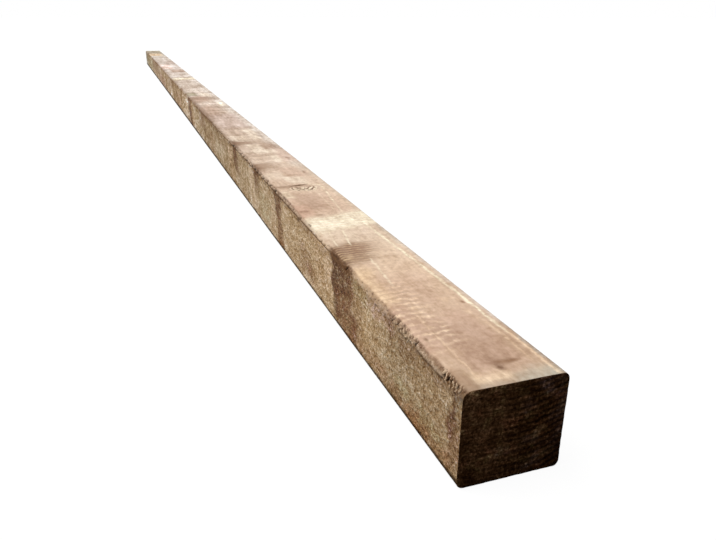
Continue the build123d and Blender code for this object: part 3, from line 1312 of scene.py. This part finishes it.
def marked(finish, colour, uneven):
    """The marks that the mesh keeps, laid unevenly over a colour."""
    cover = finish.kept("marks", "Alpha")
    paint = finish.kept("marks", "Color").scale(1.0 / cover)
    return colour.tint(cover * uneven, paint)


def streaks(finish, colour):
    """The pale streaks that follow the grain, broken here and there."""
    whole = finish.blend({"mottle": 0.5, "fleck": 0.4}) + 0.8
    for start, first, end, last, half, share, tint in STREAKS:
        slope = (last - first) / (end - start)
        line = (finish.along - start) * slope + first - finish.grain("ragged") * STREAK_STRAY
        gap = (finish.across - line).step("ABSOLUTE")
        cover = gap.ramp(half, 0.0) * finish.along.window(start, end, STREAK_FADE)
        colour = colour.tint(cover * whole * share, tint)
    return colour


def ripples(finish, colour):
    """Painted light and shade of the saw ripples, and of the finer ones across the first stain."""
    crest = wave((finish.along + finish.blend(CREST_STRAYS)) / RIPPLE_PITCH)
    fine = wave((finish.along + finish.blend(FINE_RIPPLE_STRAYS)) / FINE_RIPPLE_PITCH)
    broken = finish.blend({"patch": 0.6, "hue": 0.5, "dapple": 0.3}) + 0.6
    rippled = finish.along.window(*CREST_STRETCH) * finish.across.ramp(*CREST_ACROSS)
    stained = finish.along.window(*RIPPLED_STAIN) * finish.kept("marks", "Alpha")
    banded = (finish.along - finish.across * RIPPLED_BAND_LEAN).window(*RIPPLED_BAND)
    # Painted highlight on the ripples' crests and painted shade in their troughs
    colour = colour.tint(crest.ramp(-0.4, 1.0) * rippled * broken * 0.5, PEACH)
    colour = colour.tint(crest.ramp(-0.2, -1.0) * rippled * broken * 0.3, ROSE_BROWN)
    # Painted highlight on the ripples' crests in the pale band
    colour = colour.tint(crest.ramp(0.2, 1.0) * banded * 0.5, RIPPLE_HIGHLIGHT)
    # Painted shade in the troughs of the fine ripples over the stain, painted highlight on their crests
    colour = colour.tint(fine.ramp(-0.1, -1.0) * stained * broken * 0.7, DEEP_STAIN)
    return colour.tint(fine.ramp(0.1, 1.0) * stained * broken * 0.35, GOLD)


def reach_from(finish, along, across, reach_along, reach_across):
    """Distance from a place on the top face, which is 1 at the given reaches from it."""
    return distance((finish.along - along) / reach_along, (finish.across - across) / reach_across)


def blob(finish, along, across, reach_along, reach_across, raggedness):
    """1 at a place on the top face, fading to 0 at the given reaches from it."""
    reach = reach_from(finish, along, across, reach_along, reach_across)
    return (reach + finish.grain("ragged") * raggedness).ramp(1.1, 0.1)


def knot(finish, colour):
    """The large knot, its curled rings, and the open check beside it with painted shade in it."""
    reach = reach_from(finish, KNOT_ALONG, KNOT_ACROSS, KNOT_REACH_ALONG, KNOT_REACH_ACROSS)
    reach = reach + finish.grain("ragged") * 0.3 + finish.grain("fleck") * 0.1
    body = reach.ramp(1.4, 0.9)
    curls = wave(reach * 2.3) * finish.along.ramp(*CURLS_ALONG)
    colour = colour.tint(body * 0.25, ROSE_BROWN)
    colour = colour.tint(body * curls.ramp(0.2, 0.9), DEEP_STAIN)
    colour = colour.tint(body * curls.ramp(-0.1, -0.8), CREAM)
    swirl = (reach - SWIRL_REACH_SHARE).step("ABSOLUTE").ramp(0.16, 0.0)
    swirl = swirl * finish.across.ramp(*SWIRL_ACROSS) * finish.along.ramp(*SWIRL_ALONG)
    colour = colour.tint(swirl * 0.9, CREAM)
    halo = blob(finish, HALO_ALONG, CHECK_ACROSS, HALO_REACH_ALONG, HALO_REACH_ACROSS, 0.3)
    colour = colour.tint(halo * 0.5, STAIN)
    # Painted shade inside the open drying check
    return colour.tint(finish.kept("check").ramp(0.1, 0.6) * 0.9, PAINTED_SHADE)


def side_faces(finish, rings):
    """The rough-sawn sides and underside: fuzzy brown wood with stained bands."""
    ragged = finish.grain("ragged")
    fleck = finish.grain("fleck")
    speck = finish.grain("speck")
    hue = finish.grain("hue")
    uneven = finish.blend({"fleck": 0.6, "patch": 0.55, "mottle": 0.35, "ragged": 0.3}) + 0.98
    colour = finish.along.gradient(SIDE_TONES)
    colour = marked(finish, colour, uneven)
    colour = colour.tint((hue + fleck * 0.6).ramp(0.3, 1.2) * 0.26, ORANGE)
    colour = colour.tint((hue - fleck * 0.5).ramp(-0.3, -1.2) * 0.34, MOSS)
    colour = colour.tint((ragged + speck * 0.6).ramp(0.6, 1.3) * 0.25, PINK)
    coarse = finish.blend(SIDE_BROAD_SHARES) * coarser_far(finish)
    stained = (finish.kept("marks", "Alpha") - finish.kept("marks") * 3.0).step("MAXIMUM", 0.0)
    calmer = 1.0 - finish.along.ramp(*FAR) * FAR_FINE_LOSS_SHARE
    fine = finish.blend(SIDE_FINE_SHARES) * (stained * STAINED_GAIN + calmer)
    # Painted shade of pits: the darkest specks of the sides are darkened further
    pit_shade = (speck + fleck * 0.6).ramp(-0.35, -1.0)
    level = coarse + fine + rings * 0.06 - pit_shade * PIT_SHADE_SHARE
    level = level.step("MINIMUM", level * SIDE_LIGHT_SHARE) + SIDE_LIFT
    colour = colour.shade(level, SIDE_SPREAD)
    # Painted contact shadow over the underside and the sides' foot, rising further along
    raised = finish.along.ramp(*CONTACT_SHADOW_RISES) * CONTACT_SHADOW_RISE
    contact_shadow = finish.up - (raised - finish.grain("mottle") * CONTACT_SHADOW_STRAY)
    return colour.tint(contact_shadow.ramp(*CONTACT_SHADOW_FADE) * CONTACT_SHADOW_SHARE, PAINTED_SHADE)


def worn_arris(finish, colour):
    """The upper left arris: weathered dark, worn lips, torn fibres, deep slits in painted shade."""
    fleck = finish.grain("fleck")
    uneven = fleck * 0.35 + finish.grain("speck") * 0.3
    colour = colour.tint(finish.kept("dark_arris") * (uneven * 1.3 + 1.0), ARRIS_BROWN)
    colour = colour.tint(finish.kept("lip") * (uneven + 0.8), WORN_GREY)
    turn = HEIGHT - LEFT - finish.up - finish.across
    leaned = finish.along + turn * SLIVER_LEAN + finish.grain("dapple") * SLIVER_STRAY
    combed = finish.along.window(*COMBED_FIRST) + finish.along.window(*COMBED_SECOND)
    pale = (wave(leaned / SLIVER_PITCH) + fleck * 0.5).ramp(0.2, 1.0) * combed
    colour = colour.tint(pale * finish.kept("dark_arris") * 0.75, PEACH)
    # Torn fibres: their own brown, partly painted shade in the pits they leave
    colour = colour.tint((finish.kept("torn") + uneven * 0.4).ramp(0.15, 0.8) * 0.6, TORN_BROWN_AND_SHADE)
    # Painted shade in the groove under the lip
    colour = colour.tint((finish.kept("ledge") + uneven * 0.3).ramp(0.15, 0.8) * 0.85, TORN_BROWN_AND_SHADE)
    # Painted shade inside the chips
    return colour.tint((finish.kept("chips") + uneven * 0.3).ramp(0.25, 0.75) * 0.85, CHIP_SHADE)


def cut_ends():
    """The dark cross-cut ends, with their growth rings."""
    finish = Finish("treated_cut_ends")
    patch = finish.grain("end_patch")
    fleck = finish.grain("end_fleck")
    scratch = scratches(finish)
    strength = (finish.across + patch * END_RINGS_STRAY).ramp(*END_RINGS_ACROSS) * 0.75 + 0.25
    ring = wave(growth_rings(finish)) * strength * 0.5 + 0.5
    colour = ring.between(END_EARLY_WOOD, END_LATE_WOOD)
    hue = finish.grain("hue")
    blotch = finish.grain("blotch")
    colour = colour.tint((patch + fleck * 0.2).ramp(0.1, 1.0) * 0.3, END_RED)
    colour = colour.tint(hue.ramp(0.0, 0.8) * 0.3, END_OLIVE)
    colour = colour.tint((blotch + finish.across * 0.03).ramp(0.1, 1.0) * 0.3, END_VIOLET)
    bright = (finish.up - HEIGHT / 2) * (END_LIFT_UP / HEIGHT) - finish.across * (END_LIFT_LEFT / WIDTH)
    level = bright + END_LIFT + hue * 0.5 + blotch * 0.7 + patch * 0.6 + fleck * 1.45 + scratch * 0.6
    relief = ring * 0.05 + fleck * 0.15 + scratch * 0.12
    return woody(finish, colour.shade(level, END_SPREAD), 0.95, relief, 0.0)


def scratches(finish):
    """The saw's scratches across the ends, which run nearly level."""
    turn = (radians(SCRATCH_TURN), 0.0, 0.0)
    layout = {"Rotation": turn, "Scale": (1.0, 1 / SCRATCH_RUN, 1 / SCRATCH_SPAN)}
    return (finish.noise(layout, 2.0, 0.5) - 0.5) * 4.0


def dress(piece):
    """Gives the long faces one finish and both ends the other."""
    paint_marks(piece)
    piece.data.materials.append(sawn_faces())
    piece.data.materials.append(cut_ends())
    for face in piece.data.polygons:
        along = place(face.center)[0]
        at_end = min(along, LENGTH - along) < END_REACH
        face.material_index = 1 if at_end and abs(face.normal.x) > END_SLOPE else 0


def main():
    """Builds the batten and its stage."""
    batten = batten_mesh()
    batten.name = "sawn_batten"
    batten.data.name = "sawn_batten"
    dress(batten)
    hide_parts("batten")
    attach(batten, "root")
    print("triangles", sum(len(face.vertices) - 2 for face in batten.data.polygons))
    make_floor()
    make_light()
    make_camera()
    bpy.context.scene.view_settings.view_transform = "Standard"


main()
